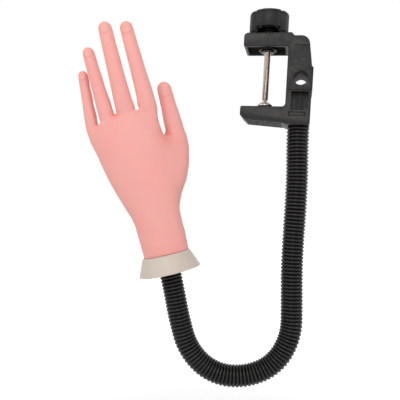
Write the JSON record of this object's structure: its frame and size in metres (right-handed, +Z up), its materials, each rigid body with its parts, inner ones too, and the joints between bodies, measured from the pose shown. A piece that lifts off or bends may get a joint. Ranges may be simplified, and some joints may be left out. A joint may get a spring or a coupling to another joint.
{
  "type": "nail practice hand",
  "caption": "Posable rubber practice hand on a bendable ribbed arm with a screw clamp for a table edge.",
  "frame": {"origin": "centre of the clamp's fixed lower jaw face, on the axis of the clamping screw", "axes": "+Z up along the clamping screw and out of the lower jaw face, +X from the clamp's open side to its spine, -Y towards the side that shows the back of the hand"},
  "size_m": [0.2119, 0.0677, 0.3383],
  "materials": {
    "black_plastic": "fine moulded texture",
    "hose": "smooth ribbed sleeve, slightly glossy",
    "steel": "bright plated",
    "beige_plastic": "smooth moulded",
    "pink_rubber": "soft matt skin"
  },
  "bodies": {
    "clamp": {"clamp_frame": "black_plastic", "screw_bushing": "steel", "clamp_ferrule": "steel", "retaining_clip": "black_plastic", "hose_section_01": "hose"},
    "pad": {"pressure_pad": "steel"},
    "screw": {"clamp_screw": "steel", "clamp_knob": "black_plastic"},
    "arm_1": {"hose_section_02": "hose", "hose_section_03": "hose", "arm_core_1": "steel"},
    "arm_2": {"hose_section_04": "hose", "hose_section_05": "hose", "arm_core_2": "steel"},
    "arm_3": {"hose_section_06": "hose", "hose_section_07": "hose", "arm_core_3": "steel"},
    "arm_4": {"hose_section_08": "hose", "hose_section_09": "hose", "arm_core_4": "steel"},
    "arm_5": {"hose_section_10": "hose", "hose_section_11": "hose", "arm_core_5": "steel"},
    "arm_6": {"hose_section_12": "hose", "hose_section_13": "hose", "arm_core_6": "steel", "hand_ferrule": "steel", "swivel_washer": "steel", "swivel_nut": "steel"},
    "hand": {"wrist_collar": "beige_plastic", "wire_anchor": "beige_plastic", "palm": "pink_rubber", "little_wire": "steel", "ring_wire": "steel", "middle_wire": "steel", "index_wire": "steel", "thumb_wire": "steel"},
    "little_base": {"little_knuckle_skin": "pink_rubber", "little_lower": "pink_rubber"},
    "little_end": {"little_joint_skin": "pink_rubber", "little_tip": "pink_rubber"},
    "ring_base": {"ring_knuckle_skin": "pink_rubber", "ring_lower": "pink_rubber"},
    "ring_end": {"ring_joint_skin": "pink_rubber", "ring_tip": "pink_rubber"},
    "middle_base": {"middle_knuckle_skin": "pink_rubber", "middle_lower": "pink_rubber"},
    "middle_end": {"middle_joint_skin": "pink_rubber", "middle_tip": "pink_rubber"},
    "index_base": {"index_knuckle_skin": "pink_rubber", "index_lower": "pink_rubber"},
    "index_end": {"index_joint_skin": "pink_rubber", "index_tip": "pink_rubber"},
    "thumb_base": {"thumb_knuckle_skin": "pink_rubber", "thumb_lower": "pink_rubber"},
    "thumb_end": {"thumb_joint_skin": "pink_rubber", "thumb_tip": "pink_rubber"}
  },
  "joints": [
    {"name": "pad_slide", "type": "slide", "parent": "clamp", "child": "pad", "axis": [0, 0, 1], "range_m": [-0.0018, 0.042]},
    {"name": "screw_turn", "type": "hinge", "parent": "pad", "child": "screw", "pos_m": [0, 0, 0.068], "axis": [0, 0, 1], "range_deg": [-648, 15120]},
    {"name": "arm_bend_1", "type": "hinge", "parent": "clamp", "child": "arm_1", "pos_m": [0.03253, 0.00028, -0.05912], "axis": [-0.2028, 0.9792, 0], "range_deg": [-25, 25], "deforming": ["hose_section_02", "arm_core_1"]},
    {"name": "arm_bend_2", "type": "hinge", "parent": "arm_1", "child": "arm_2", "pos_m": [0.03253, 0.00028, -0.11692], "axis": [-0.9792, -0.2028, 0.0044], "range_deg": [-25, 25], "deforming": ["hose_section_04", "arm_core_2"]},
    {"name": "arm_bend_3", "type": "hinge", "parent": "arm_2", "child": "arm_3", "pos_m": [0.03435, 0.00065, -0.17467], "axis": [0.2028, -0.9792, 0], "range_deg": [-12, 25], "deforming": ["hose_section_06", "arm_core_3"]},
    {"name": "arm_bend_4", "type": "hinge", "parent": "arm_3", "child": "arm_4", "pos_m": [0.02093, -0.00213, -0.22871], "axis": [0.6863, 0.1421, -0.7133], "range_deg": [-25, 25], "deforming": ["hose_section_08", "arm_core_4"]},
    {"name": "arm_bend_5", "type": "hinge", "parent": "arm_4", "child": "arm_5", "pos_m": [-0.0318, -0.01305, -0.23875], "axis": [-0.2028, 0.9792, 0], "range_deg": [-25, 12], "deforming": ["hose_section_10", "arm_core_5"]},
    {"name": "arm_bend_6", "type": "hinge", "parent": "arm_5", "child": "arm_6", "pos_m": [-0.06355, -0.01962, -0.19354], "axis": [0.9401, 0.1947, 0.2798], "range_deg": [-25, 25], "deforming": ["hose_section_12", "arm_core_6"]},
    {"name": "wrist_turn", "type": "hinge", "parent": "arm_6", "child": "hand", "pos_m": [-0.07439, -0.02187, -0.15163], "axis": [-0.2699, -0.0559, 0.9613], "range_deg": [-90, 90]},
    {"name": "little_knuckle_bend", "type": "hinge", "parent": "hand", "child": "little_base", "pos_m": [-0.15298, -0.03529, -0.01863], "axis": [-0.95, -0.1967, -0.2423], "range_deg": [-10, 50], "deforming": ["little_knuckle_skin", "little_wire"]},
    {"name": "little_middle_bend", "type": "hinge", "parent": "little_base", "child": "little_end", "pos_m": [-0.15736, -0.03598, -0.00089], "axis": [-0.95, -0.1967, -0.2423], "range_deg": [0, 60], "deforming": ["little_joint_skin"]},
    {"name": "ring_knuckle_bend", "type": "hinge", "parent": "hand", "child": "ring_base", "pos_m": [-0.13951, -0.03558, -0.01072], "axis": [-0.9206, -0.1907, -0.3407], "range_deg": [-10, 50], "deforming": ["ring_knuckle_skin", "ring_wire"]},
    {"name": "ring_middle_bend", "type": "hinge", "parent": "ring_base", "child": "ring_end", "pos_m": [-0.14823, -0.03705, 0.01366], "axis": [-0.9206, -0.1907, -0.3407], "range_deg": [0, 60], "deforming": ["ring_joint_skin"]},
    {"name": "middle_knuckle_bend", "type": "hinge", "parent": "hand", "child": "middle_base", "pos_m": [-0.1232, -0.03305, -0.00389], "axis": [-0.934, -0.1934, -0.3005], "range_deg": [-10, 50], "deforming": ["middle_knuckle_skin", "middle_wire"]},
    {"name": "middle_middle_bend", "type": "hinge", "parent": "middle_base", "child": "middle_end", "pos_m": [-0.13345, -0.03481, 0.02909], "axis": [-0.934, -0.1934, -0.3005], "range_deg": [0, 60], "deforming": ["middle_joint_skin"]},
    {"name": "index_knuckle_bend", "type": "hinge", "parent": "hand", "child": "index_base", "pos_m": [-0.10426, -0.0287, 0.00272], "axis": [-0.9262, -0.1918, -0.3246], "range_deg": [-10, 50], "deforming": ["index_knuckle_skin", "index_wire"]},
    {"name": "index_middle_bend", "type": "hinge", "parent": "index_base", "child": "index_end", "pos_m": [-0.11455, -0.03049, 0.03313], "axis": [-0.9262, -0.1918, -0.3246], "range_deg": [0, 60], "deforming": ["index_joint_skin"]},
    {"name": "thumb_knuckle_bend", "type": "hinge", "parent": "hand", "child": "thumb_base", "pos_m": [-0.08276, -0.01422, -0.01331], "axis": [-0.9319, -0.193, -0.3071], "range_deg": [-8, 35], "deforming": ["thumb_knuckle_skin", "thumb_wire"]},
    {"name": "thumb_middle_bend", "type": "hinge", "parent": "thumb_base", "child": "thumb_end", "pos_m": [-0.08687, -0.0148, -0.00045], "axis": [-0.9319, -0.193, -0.3071], "range_deg": [0, 35], "deforming": ["thumb_joint_skin"]}
  ],
  "couplings": [
    {"joint": "screw_turn", "follows": "pad_slide", "rad_per_m": 6283.2}
  ]
}
